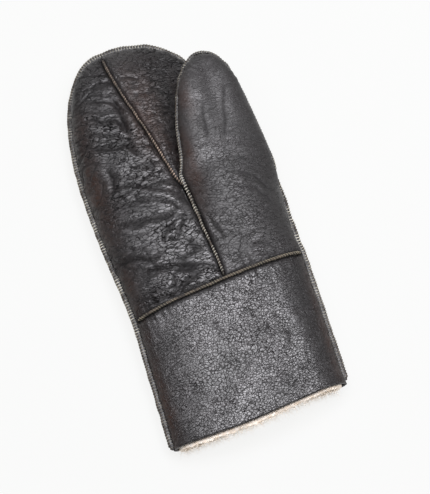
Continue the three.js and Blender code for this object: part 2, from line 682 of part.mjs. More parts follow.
const mitten = new THREE.Group();
mitten.add(
  panel("outer_palm_panel", outerPalm, closeAtStart(12), palmRows, 1, leatherBrown, handPlanes(true, false)),
  panel(
    "inner_palm_panel", innerPalmSurface, closeAtBothEnds(11), innerRows, -1, leatherBrown,
    innerPalmPlanes, innerPalmFacing,
  ),
  panel("thumb_panel", thumbSurface, closeAtBothEnds(15), closeAtEnd(26), 1, leatherBrown, thumbPlanes),
  panel(
    "outer_back_panel", outerBack, closeAtStart(10), closeAtEnd(22), -1, leatherBrown,
    handPlanes(true, false),
  ),
  panel(
    "inner_back_panel", innerBack, closeAtEnd(8), closeAtEnd(22), -1, leatherBrown,
    handPlanes(false, true),
  ),
  panel("palm_cuff_panel", cuffPalmSurface, closeAtBothEnds(20), even(9), 1, cuffBrown, cuffPlanes),
  panel("back_cuff_panel", cuffBackSurface, closeAtBothEnds(18), even(9), -1, cuffBrown, cuffPlanes),
  cuffLining(),
  sideSeam(),
  palmSeam(),
  thumbSeam(),
  cuffSeam("palm_cuff_seam", cuffPalmSurface, 1),
  cuffSeam("back_cuff_seam", cuffBackSurface, -1),
  backSeam(),
);

// The origin is under the middle of the whole mitten, on the table.
const box = new THREE.Box3().setFromObject(mitten);
const middle = box.getCenter(new THREE.Vector3());
mitten.position.set(-middle.x, -middle.y, -box.min.z);

export default mitten;
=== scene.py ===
# Right-hand shearling mitten lying palm up on a white table. Sizes in the tables are millimetres.
import math
import random

import bmesh
import bpy
import numpy as np
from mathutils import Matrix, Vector, kdtree, noise
from mathutils.bvhtree import BVHTree


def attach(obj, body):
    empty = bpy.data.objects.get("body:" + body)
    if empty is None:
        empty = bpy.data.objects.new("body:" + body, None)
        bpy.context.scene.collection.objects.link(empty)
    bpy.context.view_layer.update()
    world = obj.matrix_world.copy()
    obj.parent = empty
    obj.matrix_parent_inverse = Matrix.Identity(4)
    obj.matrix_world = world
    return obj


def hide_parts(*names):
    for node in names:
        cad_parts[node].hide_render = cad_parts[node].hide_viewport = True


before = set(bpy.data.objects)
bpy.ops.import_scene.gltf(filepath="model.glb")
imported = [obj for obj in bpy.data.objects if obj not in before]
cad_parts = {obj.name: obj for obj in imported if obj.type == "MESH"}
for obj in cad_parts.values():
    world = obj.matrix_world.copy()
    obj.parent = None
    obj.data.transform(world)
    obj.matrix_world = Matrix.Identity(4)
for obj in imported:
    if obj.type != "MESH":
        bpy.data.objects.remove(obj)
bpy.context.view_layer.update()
mm = 0.001
random.seed(11)


def linear(hexColour):
    parts = [int(hexColour[i:i + 2], 16) / 255 for i in (1, 3, 5)]
    return [p / 12.92 if p <= 0.04045 else ((p + 0.055) / 1.055) ** 2.4 for p in parts] + [1.0]


def addNode(material, kind, settings=None, links=None):
    node = material.node_tree.nodes.new(kind)
    for name, value in (settings or {}).items():
        if isinstance(name, int) or name in node.inputs:
            node.inputs[name].default_value = value
        else:
            setattr(node, name, value)
    for name, source in (links or {}).items():
        material.node_tree.links.new(source, node.inputs[name])
    return node


def newMaterial(name):
    material = bpy.data.materials.new(name)
    material.use_nodes = True
    material.node_tree.nodes.clear()
    return material


def meshFrom(bm, name):
    mesh = bpy.data.meshes.new(name)
    bm.to_mesh(mesh)
    bm.free()
    return mesh


def addObject(name, data):
    added = bpy.data.objects.new(name, data)
    bpy.context.scene.collection.objects.link(added)
    return added


# Camera: looks down steeply from the cuff's end, a little to the left, through a long lens.
view = {
    "turn": -16.5, "height": 70.0, "aim": (8, -16, 20), "away": 4200,
    "lens": 429.5, "sensor": 36, "nearest": 50, "furthest": 20000,
}


def makeCamera():
    turn, height = math.radians(view["turn"]), math.radians(view["height"])
    back = Vector((math.sin(turn) * math.cos(height), -math.cos(turn) * math.cos(height), math.sin(height)))
    data = bpy.data.cameras.new("camera")
    data.lens = view["lens"]
    data.sensor_width = view["sensor"]
    data.sensor_fit = "AUTO"
    data.clip_start = view["nearest"] * mm
    data.clip_end = view["furthest"] * mm
    camera = addObject("camera", data)
    camera.location = Vector(view["aim"]) * mm + back * view["away"] * mm
    camera.rotation_euler = back.to_track_quat("Z", "Y").to_euler()
    bpy.context.scene.camera = camera


# Light: a big soft panel overhead and three weaker strips round it, over a glowing white table.
# The leather mirrors them: the strips reach the cuff's left side, the thumb's base and the fingertips.
studio = {
    "panels": {
        "panel": {"size": (1150, 1000), "place": (230, 300, 1450), "power": 38.0},
        "leftStrip": {"size": (900, 400), "place": (-800, 330, 1450), "power": 9.0},
        "rightStrip": {"size": (1050, 350), "place": (775, -375, 1450), "power": 14.0},
        "farStrip": {"size": (1000, 300), "place": (330, 1000, 1450), "power": 5.0},
    },
    "tint": "#fbfaff", "room": "#eaeaec", "roomStrength": 0.12,
    "table": "#3c3d3d", "glow": "#fcfcfb", "tableGlow": 0.885, "tableReach": 3000, "tableDrop": 0.2,
}


def makeStudio():
    for name, panel in studio["panels"].items():
        data = bpy.data.lights.new(name, "AREA")
        data.shape = "RECTANGLE"
        data.size, data.size_y = [side * mm for side in panel["size"]]
        data.energy = panel["power"]
        data.color = linear(studio["tint"])[:3]
        lamp = addObject(name, data)
        lamp.location = Vector(panel["place"]) * mm
        lamp.visible_camera = False
    world = bpy.data.worlds.new("pale room")
    world.use_nodes = True
    world.node_tree.nodes["Background"].inputs["Color"].default_value = linear(studio["room"])
    world.node_tree.nodes["Background"].inputs["Strength"].default_value = studio["roomStrength"]
    bpy.context.scene.world = world
    bpy.context.scene.view_settings.view_transform = "Standard"

    # Even and shadowless: matt white glass, lit softly from below
    glass = newMaterial("opal glass light table")
    shader = addNode(glass, "ShaderNodeBsdfPrincipled", {
        "Base Color": linear(studio["table"]), "Roughness": 0.9, "Specular IOR Level": 0.1,
        "Emission Color": linear(studio["glow"]), "Emission Strength": studio["tableGlow"],
    })
    addNode(glass, "ShaderNodeOutputMaterial", links={"Surface": shader.outputs[0]})
    bm = bmesh.new()
    bmesh.ops.create_grid(bm, x_segments=1, y_segments=1, size=studio["tableReach"] * mm)
    bmesh.ops.translate(bm, verts=bm.verts, vec=(0, 0, -studio["tableDrop"] * mm))
    mesh = meshFrom(bm, "table")
    mesh.materials.append(glass)
    table = addObject("table", mesh)


makeCamera()
makeStudio()
print("camera and studio made")


# Leather: chrome-tanned lambskin with a smooth dark brown finish over cream wool.
# The finish gives a broad satin shine that breaks up over fine creases and grain,
# and it is rubbed to a warmer brown where the mitten is handled.
leather = {
    # crease is the colour of painted shade, laid in creases, grain grooves, fold valleys and seam grooves
    "dark": "#0d0c0c", "mid": "#171415", "worn": "#2d1d16", "crease": "#050404", "wornAndShadedShine": "#3c3c3c",
    "mottleSize": 20, "driftSize": 8, "drift": 0.002, "fadeCells": 2.2, "grainWidth": 0.07,
    "dullPatch": 0.12, "glossyPatch": 0.04, "darkMaskDulls": 0.3, "wearDulls": 0.5,
}
# In each skin, the crease weight sets how strongly painted shade darkens its creases, and grainLine how
# strongly it darkens the grain's grooves
palmSkin = {
    "roughness": 0.33, "stretch": (1, 2.5, 1), "paintedCreaseShade": 1.0,
    "creaseSize": 9.0, "creaseWidth": 0.022, "creaseDepth": 0.5,
    "fineSize": 5.4, "fineWidth": 0.085, "fineDepth": 0.3, "fineFade": 0.3,
    "grainSize": 2.2, "grainDepth": 0.05, "grainLine": 0.45,
}
innerSkin = {
    "roughness": 0.32, "stretch": (1, 2.9, 1), "paintedCreaseShade": 0.9,
    "creaseSize": 9.0, "creaseWidth": 0.03, "creaseDepth": 0.25,
    "fineSize": 6.0, "fineWidth": 0.1, "fineDepth": 0.33, "fineFade": 0.2,
    "grainSize": 2.3, "grainDepth": 0.05, "grainLine": 0.4,
}
thumbSkin = {
    "roughness": 0.44, "stretch": (1, 2.1, 1), "paintedCreaseShade": 0.5,
    "creaseSize": 9.0, "creaseWidth": 0.03, "creaseDepth": 0.16,
    "fineSize": 3.8, "fineWidth": 0.09, "fineDepth": 0.18, "fineFade": 0.6,
    "grainSize": 2.2, "grainDepth": 0.05, "grainLine": 0.35,
}
cuffSkin = {
    "roughness": 0.31, "stretch": (1.1, 1.3, 1), "paintedCreaseShade": 0.7,
    "creaseSize": 9.0, "creaseWidth": 0.01, "creaseDepth": 0.14,
    "fineSize": 2.7, "fineWidth": 0.1, "fineDepth": 0.18, "fineFade": 0.4,
    "grainSize": 1.9, "grainDepth": 0.07, "grainLine": 0.6,
}
backSkin = {
    "roughness": 0.34, "stretch": (1.1, 1, 1), "paintedCreaseShade": 0.9,
    "creaseSize": 12.0, "creaseWidth": 0.07, "creaseDepth": 0.6,
    "fineSize": 5.5, "fineWidth": 0.1, "fineDepth": 0.3, "fineFade": 0.4,
    "grainSize": 2.4, "grainDepth": 0.05, "grainLine": 0.4,
}


def leatherMaterial(name, skin):
    material = newMaterial(name)
    place = addNode(material, "ShaderNodeTexCoord").outputs["Object"]
    drift = addNode(material, "ShaderNodeTexNoise",
                    {"Scale": 1 / (leather["driftSize"] * mm), "Detail": 2.0}, {"Vector": place})
    bent = addNode(material, "ShaderNodeMixRGB", {"blend_type": "LINEAR_LIGHT", "Fac": leather["drift"]},
                   {"Color1": place, "Color2": drift.outputs["Color"]}).outputs[0]
    drawn = addNode(material, "ShaderNodeMapping", {"Scale": skin["stretch"]}, {"Vector": bent}).outputs[0]
    creased = addNode(material, "ShaderNodeAttribute", {"attribute_name": "creased"}).outputs["Fac"]
    worn = addNode(material, "ShaderNodeAttribute", {"attribute_name": "worn"}).outputs["Fac"]
    sunk = addNode(material, "ShaderNodeAttribute", {"attribute_name": "sunk"}).outputs["Fac"]

    # Long creases lie where a noise crosses its middle value, forking, with soft plates between them
    field = addNode(material, "ShaderNodeTexNoise",
                    {"Scale": 1 / (skin["creaseSize"] * mm), "Detail": 2.0, "Distortion": 0.25},
                    {"Vector": drawn})
    middle = addNode(material, "ShaderNodeMath", {"operation": "SUBTRACT", 1: 0.5},
                     {0: field.outputs["Fac"]})
    away = addNode(material, "ShaderNodeMath", {"operation": "ABSOLUTE"}, {0: middle.outputs[0]})
    longRise = addNode(material, "ShaderNodeMapRange",
                       {"From Max": skin["creaseWidth"], "interpolation_type": "SMOOTHSTEP"},
                       {"Value": away.outputs[0]}).outputs[0]

    # Fine wrinkles are a thin net of cell borders that fades in and out
    net = addNode(material, "ShaderNodeTexVoronoi",
                  {"feature": "DISTANCE_TO_EDGE", "Scale": 1 / (skin["fineSize"] * mm)}, {"Vector": drawn})
    fading = addNode(material, "ShaderNodeTexNoise",
                     {"Scale": 1 / (leather["fadeCells"] * skin["fineSize"] * mm)}, {"Vector": place})
    faded = addNode(material, "ShaderNodeMapRange",
                    {"From Min": 0.42, "From Max": 0.6, "To Max": skin["fineFade"]},
                    {"Value": fading.outputs["Fac"]}).outputs[0]
    netRise = addNode(material, "ShaderNodeMapRange",
                      {"From Max": skin["fineWidth"], "interpolation_type": "SMOOTHSTEP"},
                      {"Value": net.outputs["Distance"]}).outputs[0]
    fineRise = addNode(material, "ShaderNodeMath", {"operation": "MAXIMUM"},
                       {0: netRise, 1: faded}).outputs[0]

    # Pores and pebbles: the real grain is near 0.4 mm, drawn coarser so that it shows, with painted shade
    # in its grooves
    pebbles = addNode(material, "ShaderNodeTexVoronoi",
                      {"feature": "DISTANCE_TO_EDGE", "Scale": 1 / (skin["grainSize"] * mm)},
                      {"Vector": drawn})
    pebbleRise = addNode(material, "ShaderNodeMapRange",
                         {"From Max": leather["grainWidth"], "interpolation_type": "SMOOTHSTEP"},
                         {"Value": pebbles.outputs["Distance"]}).outputs[0]

    # The finish varies in patches and rubs brown; painted shade turns it black in creases, in the grain's
    # grooves and along the seams
    patches = addNode(material, "ShaderNodeTexNoise",
                      {"Scale": 1 / (leather["mottleSize"] * mm), "Detail": 5.0, "Roughness": 0.62},
                      {"Vector": place})
    patch = addNode(material, "ShaderNodeMapRange", {"From Min": 0.36, "From Max": 0.66},
                    {"Value": patches.outputs["Fac"]}).outputs[0]
    base = addNode(material, "ShaderNodeMixRGB",
                   {"Color1": linear(leather["dark"]), "Color2": linear(leather["mid"])},
                   {"Fac": patch}).outputs[0]
    rubbed = addNode(material, "ShaderNodeMixRGB", {"Color2": linear(leather["worn"])},
                     {"Fac": worn, "Color1": base}).outputs[0]
    plate = addNode(material, "ShaderNodeMath", {"operation": "MULTIPLY"},
                    {0: longRise, 1: fineRise}).outputs[0]
    line = addNode(material, "ShaderNodeMath", {"operation": "SUBTRACT", 0: 1.0}, {1: plate}).outputs[0]
    lying = addNode(material, "ShaderNodeMath", {"operation": "MULTIPLY"}, {0: line, 1: creased}).outputs[0]
    # Painted shade in the creases, where the skin is creased
    dirtAndShade = addNode(material, "ShaderNodeMath", {"operation": "MULTIPLY", 1: skin["paintedCreaseShade"]},
                   {0: lying}).outputs[0]
    # Painted shade in the pebbles' grooves
    pebbleLine = addNode(material, "ShaderNodeMath",
                         {"operation": "MULTIPLY_ADD", 1: -skin["grainLine"], 2: skin["grainLine"]},
                         {0: pebbleRise}).outputs[0]
    finest = addNode(material, "ShaderNodeMath", {"operation": "MAXIMUM"},
                     {0: dirtAndShade, 1: pebbleLine}).outputs[0]
    dark = addNode(material, "ShaderNodeMath", {"operation": "MAXIMUM"}, {0: sunk, 1: finest}).outputs[0]
    # Painted shade: the crease colour laid over the dark mask
    shaded = addNode(material, "ShaderNodeMixRGB", {"Color2": linear(leather["crease"])},
                     {"Fac": dark, "Color1": rubbed}).outputs[0]

    # The painted shade in creases, grooves and seams also takes the shine away, as more roughness and a
    # greyer specular tint, and wear dulls it through the tint
    gloss = addNode(material, "ShaderNodeMapRange",
                    {"To Min": skin["roughness"] + leather["dullPatch"],
                     "To Max": skin["roughness"] - leather["glossyPatch"]}, {"Value": patch}).outputs[0]
    dulled = addNode(material, "ShaderNodeMath", {"operation": "MULTIPLY_ADD", 1: leather["darkMaskDulls"]},
                     {0: dark, 2: gloss}).outputs[0]
    wear = addNode(material, "ShaderNodeMath", {"operation": "MULTIPLY", 1: leather["wearDulls"]},
                   {0: worn}).outputs[0]
    dull = addNode(material, "ShaderNodeMath", {"operation": "MAXIMUM"}, {0: dark, 1: wear}).outputs[0]
    # Painted shade on the reflection: the specular tint greys over the dark mask, and over real wear
    shine = addNode(material, "ShaderNodeMixRGB",
                    {"Color1": (1, 1, 1, 1), "Color2": linear(leather["wornAndShadedShine"])},
                    {"Fac": dull}).outputs[0]

    normal = None
    deep, fine = [addNode(material, "ShaderNodeMath", {"operation": "MULTIPLY"}, {0: rise, 1: creased})
                  for rise in (longRise, fineRise)]
    heights = (deep.outputs[0], fine.outputs[0], pebbleRise)
    for height, depth in zip(heights, ("creaseDepth", "fineDepth", "grainDepth")):
        bump = addNode(material, "ShaderNodeBump", {"Strength": 1.0, "Distance": skin[depth] * mm},
                       {"Height": height})
        if normal:
            material.node_tree.links.new(normal, bump.inputs["Normal"])
        normal = bump.outputs[0]
    shader = addNode(material, "ShaderNodeBsdfPrincipled", {"IOR": 1.5, "Specular IOR Level": 0.8},
                     {"Base Color": shaded, "Roughness": dulled, "Specular Tint": shine, "Normal": normal})
    addNode(material, "ShaderNodeOutputMaterial", links={"Surface": shader.outputs[0]})
    return material


# Raw leather edge: the cut fibres of the skin, paler and without any shine.
rawEdge = {"pale": "#463c32", "dirty": "#1e1a16", "spotSize": 2.5, "roughness": 0.85}


def rawEdgeMaterial():
    material = newMaterial("raw cut leather edge")
    place = addNode(material, "ShaderNodeTexCoord").outputs["Object"]
    spots = addNode(material, "ShaderNodeTexNoise",
                    {"Scale": 1 / (rawEdge["spotSize"] * mm), "Detail": 4.0}, {"Vector": place})
    share = addNode(material, "ShaderNodeMapRange", {"From Min": 0.36, "From Max": 0.62},
                    {"Value": spots.outputs["Fac"]}).outputs[0]
    colour = addNode(material, "ShaderNodeMixRGB",
                     {"Color1": linear(rawEdge["dirty"]), "Color2": linear(rawEdge["pale"])},
                     {"Fac": share})
    lumps = addNode(material, "ShaderNodeBump", {"Strength": 0.6, "Distance": 0.3 * mm},
                    {"Height": spots.outputs["Fac"]})
    shader = addNode(material, "ShaderNodeBsdfPrincipled", {"Roughness": rawEdge["roughness"]},
                     {"Base Color": colour.outputs[0], "Normal": lumps.outputs[0]})
    addNode(material, "ShaderNodeOutputMaterial", links={"Surface": shader.outputs[0]})
    return material


# Waxed linen thread: twisted, dull, darkened by handling, most of all round the fingertips and the cuff.
thread = {
    "pale": "#a9a699", "rosy": "#ab9584", "soiled": "#706b5a", "dark": "#3a3630",
    "twist": 0.9, "dirtSize": 7, "roughness": 0.7,
    "tipFrom": 30, "tipTo": 90, "tipClean": 0.5, "cuffFrom": -50, "cuffTo": -90, "cuffClean": 0.35,
}


def threadMaterial(name, pale):
    material = newMaterial(name)
    place = addNode(material, "ShaderNodeTexCoord").outputs["Object"]
    dirtAndShade = addNode(material, "ShaderNodeTexNoise", {"Scale": 1 / (thread["dirtSize"] * mm), "Detail": 3.0},
                   {"Vector": place})
    clean = addNode(material, "ShaderNodeMapRange", {"From Min": 0.38, "From Max": 0.6},
                    {"Value": dirtAndShade.outputs["Fac"]}).outputs[0]
    along = addNode(material, "ShaderNodeSeparateXYZ", links={"Vector": place}).outputs["Y"]
    tip = addNode(material, "ShaderNodeMapRange",
                  {"From Min": thread["tipFrom"] * mm, "From Max": thread["tipTo"] * mm,
                   "To Min": 1.0, "To Max": thread["tipClean"]}, {"Value": along}).outputs[0]
    cuff = addNode(material, "ShaderNodeMapRange",
                   {"From Min": thread["cuffTo"] * mm, "From Max": thread["cuffFrom"] * mm,
                    "To Min": thread["cuffClean"]}, {"Value": along}).outputs[0]
    ends = addNode(material, "ShaderNodeMath", {"operation": "MULTIPLY"}, {0: tip, 1: cuff}).outputs[0]
    share = addNode(material, "ShaderNodeMath", {"operation": "MULTIPLY"}, {0: clean, 1: ends}).outputs[0]
    colour = addNode(material, "ShaderNodeMixRGB",
                     {"Color1": linear(thread["dark"]), "Color2": linear(pale)}, {"Fac": share})
    plies = addNode(material, "ShaderNodeTexNoise", {"Scale": 1 / (thread["twist"] * mm)},
                    {"Vector": place})
    bump = addNode(material, "ShaderNodeBump", {"Strength": 0.4, "Distance": 0.1 * mm},
                   {"Height": plies.outputs["Fac"]})
    shader = addNode(material, "ShaderNodeBsdfPrincipled", {"Roughness": thread["roughness"]},
                     {"Base Color": colour.outputs[0], "Normal": bump.outputs[0]})
    addNode(material, "ShaderNodeOutputMaterial", links={"Surface": shader.outputs[0]})
    return material


# Sheared wool: dense cream fibre that scatters light, so it has sheen and no gloss.
wool = {"pale": "#f6eee2", "deep": "#ddcab2", "curlSize": 3.2, "roughness": 0.95}


def woolMaterial():
    material = newMaterial("sheared cream wool")
    place = addNode(material, "ShaderNodeTexCoord").outputs["Object"]
    curls = addNode(material, "ShaderNodeTexNoise",
                    {"Scale": 1 / (wool["curlSize"] * mm), "Detail": 6.0, "Roughness": 0.65},
                    {"Vector": place})
    share = addNode(material, "ShaderNodeMapRange", {"From Min": 0.3, "From Max": 0.62},
                    {"Value": curls.outputs["Fac"]}).outputs[0]
    colour = addNode(material, "ShaderNodeMixRGB",
                     {"Color1": linear(wool["deep"]), "Color2": linear(wool["pale"])}, {"Fac": share})
    bump = addNode(material, "ShaderNodeBump", {"Strength": 0.8, "Distance": 0.8 * mm},
                   {"Height": curls.outputs["Fac"]})
    shader = addNode(material, "ShaderNodeBsdfPrincipled",
                     {"Roughness": wool["roughness"], "Sheen Weight": 0.4},
                     {"Base Color": colour.outputs[0], "Normal": bump.outputs[0]})
    addNode(material, "ShaderNodeOutputMaterial", links={"Surface": shader.outputs[0]})
    return material


palmLeather = leatherMaterial("satin lambskin, creased palm", palmSkin)
innerLeather = leatherMaterial("satin lambskin, forefinger side", innerSkin)
thumbLeather = leatherMaterial("satin lambskin, smooth thumb", thumbSkin)
cuffLeather = leatherMaterial("satin lambskin, pebbled cuff", cuffSkin)
backLeather = leatherMaterial("satin lambskin, crackled back", backSkin)
edgeMaterial = rawEdgeMaterial()
paleThread = threadMaterial("waxed linen thread", thread["pale"])
rosyThread = threadMaterial("reddened linen thread", thread["rosy"])
soiledThread = threadMaterial("soiled linen thread", thread["soiled"])
fleeceMaterial = woolMaterial()
print("materials made")

panelNames = [
    "outer_palm_panel", "inner_palm_panel", "thumb_panel", "outer_back_panel", "inner_back_panel",
    "palm_cuff_panel", "back_cuff_panel",
]
seamNames = ["side_seam", "palm_seam", "thumb_seam", "palm_cuff_seam", "back_cuff_seam", "back_seam"]
weldDistance = 0.02


def mergedCopy(nodeName):
    bm = bmesh.new()
    bm.from_mesh(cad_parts[nodeName].data)
    bmesh.ops.remove_doubles(bm, verts=bm.verts, dist=weldDistance * mm)
    return bm


def shellTree(names):
    bm = bmesh.new()
    for name in names:
        bm.from_mesh(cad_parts[name].data)
    tree = BVHTree.FromBMesh(bm)
    bm.free()
    return tree


leatherShell = shellTree(panelNames)


# A seam's route is read from its ridge in the frame: the rings of the ridge are walked from one end.
# Inside the ridge a corner has six edges, and on an end ring fewer. The thread runs on past each end.
routeStep = 0.7
routeForm = {"innerEdges": 6, "ringReach": 5, "curvePoints": 12, "steadyReach": 6}
routeGrowth = {"thumb_seam": (5.5, 12), "palm_seam": (9, 2), "side_seam": (5, 5)}


def ringCentres(nodeName):
    bm = mergedCopy(nodeName)
    ends = [v for v in bm.verts if len(v.link_edges) < routeForm["innerEdges"]]
    start = min(ends, key=lambda v: v.co.y)
    ring = [v for v in ends if (v.co - start.co).length < routeForm["ringReach"] * mm]
    seen = set(ring)
    centres = []
    while ring:
        centres.append(sum((v.co for v in ring), Vector()) / len(ring))
        step = {e.other_vert(v) for v in ring for e in v.link_edges} - seen
        seen |= step
        ring = list(step)
    bm.free()
    return centres[1:-1]


# Rounds a chain of points: each span is a cubic that also looks at the points before and after it.
def roundedLine(points):
    dense = []
    for i, (a, b) in enumerate(zip(points, points[1:])):
        before = points[max(i - 1, 0)]
        after = points[min(i + 2, len(points) - 1)]
        for k in range(routeForm["curvePoints"]):
            t = k / routeForm["curvePoints"]
            dense.append(0.5 * ((2 * a) + (b - before) * t + (2 * before - 5 * a + 4 * b - after) * t * t
                                + (3 * a - before - 3 * b + after) * t ** 3))
    dense.append(points[-1])
    return dense


def evenlySpaced(line):
    route, travelled, wanted = [line[0]], 0.0, routeStep * mm
    for a, b in zip(line, line[1:]):
        length = (b - a).length
        while travelled + length >= wanted:
            route.append(a.lerp(b, (wanted - travelled) / length))
            wanted += routeStep * mm
        travelled += length
    return route


def seamRoute(nodeName):
    points = ringCentres(nodeName)
    first, last = routeGrowth.get(nodeName, (0, 0))
    points[0] = points[0] + (points[0] - points[1]).normalized() * first * mm
    points[-1] = points[-1] + (points[-1] - points[-2]).normalized() * last * mm
    route = evenlySpaced(roundedLine(points))
    # Each point's foot on the leather and its way out from there, steadied over its neighbours
    feet = [leatherShell.find_nearest(p)[0] for p in route]
    outs = [(p - foot).normalized() for p, foot in zip(route, feet)]
    reach = routeForm["steadyReach"]
    steady = []
    for i in range(len(route)):
        near = range(max(0, i - reach), min(len(route), i + reach + 1))
        out = sum((outs[j] for j in near), Vector()).normalized()
        height = sum((route[j] - feet[j]).dot(out) for j in near) / len(near)
        steady.append((route[i] - out * height, out))
    return steady


routes = {name: seamRoute(name) for name in seamNames}
seamPlaces = [(step[0], name, i) for name in seamNames for i, step in enumerate(routes[name])]
seamFinder = kdtree.KDTree(len(seamPlaces))
for i, place in enumerate(seamPlaces):
    seamFinder.insert(place[0], i)
seamFinder.balance()
print("seam routes:", {name: len(route) for name, route in routes.items()})


# Which side of the wall a face is on: a ray from inside the mitten crosses an odd number of walls.
# Each wall gives two hits, and five rays that lean apart take a vote.
wallTest = {"lean": 0.4, "start": 0.3, "skip": 0.05, "mostHits": 12, "majority": 3}


def facesInwards(centre, normal):
    side = normal.orthogonal().normalized() * wallTest["lean"]
    other = normal.cross(side)
    votes = 0
    for lean in (Vector(), side, -side, other, -other):
        way = (normal + lean).normalized()
        place = centre + way * wallTest["start"] * mm
        hits = 0
        while hits < wallTest["mostHits"]:
            hit = leatherShell.ray_cast(place, way)[0]
            if hit is None:
                break
            hits += 1
            place = hit + way * wallTest["skip"] * mm
        votes += round(hits / 2) % 2
    return votes >= wallTest["majority"]


outerFace, innerFace, cutFace = 0, 1, 2

# The cut edge of a panel is a strip between two sharp edges, with small pieces at its corners.
cutStrip = {"width": 2.4, "pieceArea": 12}


def isCut(face, crease):
    edges = list(face.edges)
    if len(edges) != 4:
        narrow = all(e[crease] > 0 or e.calc_length() < cutStrip["width"] * mm for e in edges)
        return narrow and face.calc_area() < cutStrip["pieceArea"] * mm * mm
    oneWay = edges[0][crease] > 0 and edges[2][crease] > 0
    otherWay = edges[1][crease] > 0 and edges[3][crease] > 0
    return oneWay or otherWay


# The thumb's outer side, drawn out a little to the photo's outline.
fuller = {"from": 45, "to": 66, "middle": 22, "reach": 22, "push": 2.2}


def fullerPush(x, y):
    share = min(max((x - fuller["from"]) / (fuller["to"] - fuller["from"]), 0), 1)
    return fuller["push"] * share * math.exp(-(((y - fuller["middle"]) / fuller["reach"]) ** 2))


# A solid's triangles are joined to bigger faces and rounded by subdivision, and its sharp edges stay.
rounding = {"joinAngle": 60, "joinShape": 70, "sharpAngle": 52, "levels": 3}


def joinedCopy(nodeName):
    bm = mergedCopy(nodeName)
    bmesh.ops.join_triangles(bm, faces=bm.faces, angle_face_threshold=math.radians(rounding["joinAngle"]),
                             angle_shape_threshold=math.radians(rounding["joinShape"]))
    for face in bm.faces:
        face.smooth = True
    return bm


def roundedMesh(bm, name, slotNames=()):
    mesh = meshFrom(bm, name)
    for slotName in slotNames:
        mesh.materials.append(bpy.data.materials.new(slotName))
    rough = addObject("rough", mesh)
    rounder = rough.modifiers.new("Subdivision", "SUBSURF")
    rounder.levels = rounder.render_levels = rounding["levels"]
    done = bpy.data.meshes.new_from_object(rough.evaluated_get(bpy.context.evaluated_depsgraph_get()))
    bpy.data.objects.remove(rough)
    return done


def smoothPanel(nodeName):
    bm = joinedCopy(nodeName)
    crease = bm.edges.layers.float.new("crease_edge")
    for edge in bm.edges:
        edge[crease] = 1.0 if edge.calc_face_angle(0) > math.radians(rounding["sharpAngle"]) else 0.0
    for face in bm.faces:
        if isCut(face, crease):
            face.material_index = cutFace
        elif facesInwards(face.calc_center_median(), face.normal):
            face.material_index = innerFace
    return roundedMesh(bm, nodeName, ("outer", "inner", "cut"))


def places(mesh):
    co = np.empty(len(mesh.vertices) * 3)
    mesh.vertices.foreach_get("co", co)
    return co.reshape(-1, 3) / mm


# Away from the hollow at each vertex, from its outer and inner faces alone.
def outwardAt(mesh):
    out = np.zeros((len(mesh.vertices), 3))
    for face in mesh.polygons:
        if face.material_index != cutFace:
            sign = 1 if face.material_index == outerFace else -1
            out[list(face.vertices)] += np.array(face.normal) * sign
    length = np.linalg.norm(out, axis=1)
    known = length > 1e-9
    out[known] /= length[known, None]
    out[~known] = 0
    return out


def bumpsAt(points, size, shift=0.0):
    sx, sy, sz = size
    return np.array([noise.noise((x / sx + shift, y / sy, z / sz)) for x, y, z in points])


# A net of creases, 1 along each and 0 between them: the lines where a bent noise crosses zero.
creaseBend = {"size": 1.6, "acrossShift": 3.1, "alongShift": 8.7}


def creasesAt(points, size, width, bend, shift=0.0):
    wide = [side * creaseBend["size"] for side in size]
    across = bumpsAt(points, wide, shift + creaseBend["acrossShift"]) * bend
    along = bumpsAt(points, wide, shift + creaseBend["alongShift"]) * bend
    bent = points / np.array(size) + np.stack([across + shift, along, np.zeros_like(along)], axis=1)
    value = np.array([noise.noise(p) for p in bent.tolist()])
    return np.exp(-((value / width) ** 2))


def stepAt(low, high, values):
    t = np.clip((values - low) / (high - low), 0, 1)
    return t * t * (3 - 2 * t)


def fromLeast(least, share):
    return least + (1 - least) * share


# The rise and the dark line that a table of folds gives: each valley has a soft lip beside it, and the dark
# line is painted shade in the valley.
foldLook = {
    "depth": 1.25, "lip": 0.4, "lipAway": 2.0, "lipWidth": 1.3, "line": 0.55,
    "dark": 0.8, "taper": 5, "leastTaper": 0.15,
    "wander": 1.8, "wanderSize": (9, 9, 9), "shifts": (1.7, 5.3),
}


def foldsAt(points, folds):
    wander = np.stack([bumpsAt(points, foldLook["wanderSize"], s) for s in foldLook["shifts"]], axis=1)
    plan = points[:, :2] + wander * foldLook["wander"]
    total = np.zeros(len(points))
    line = np.zeros(len(points))
    for fold in folds:
        route = [np.array(p, float) for p in fold["route"]]
        lengths = [np.linalg.norm(b - a) for a, b in zip(route, route[1:])]
        whole, before = sum(lengths), 0.0
        nearest = np.full(len(points), np.inf)
        share = np.zeros(len(points))
        for a, b, length in zip(route, route[1:], lengths):
            along = np.clip(((plan - a) @ (b - a)) / length ** 2, 0, 1)
            away = np.linalg.norm(plan - a - along[:, None] * (b - a), axis=1)
            closer = away < nearest
            nearest = np.where(closer, away, nearest)
            share = np.where(closer, (before + along * length) / whole, share)
            before += length
        taper = np.clip(np.minimum(share, 1 - share) * foldLook["taper"], foldLook["leastTaper"], 1)
        width = fold["width"]
        valley = np.exp(-((nearest / width) ** 2))
        lip = np.exp(-(((nearest - foldLook["lipAway"] * width) / (foldLook["lipWidth"] * width)) ** 2))
        total += foldLook["depth"] * fold["depth"] * taper * (foldLook["lip"] * lip - valley)
        line = np.maximum(line, taper * np.exp(-((nearest / (foldLook["line"] * width)) ** 2)))
    return total, line


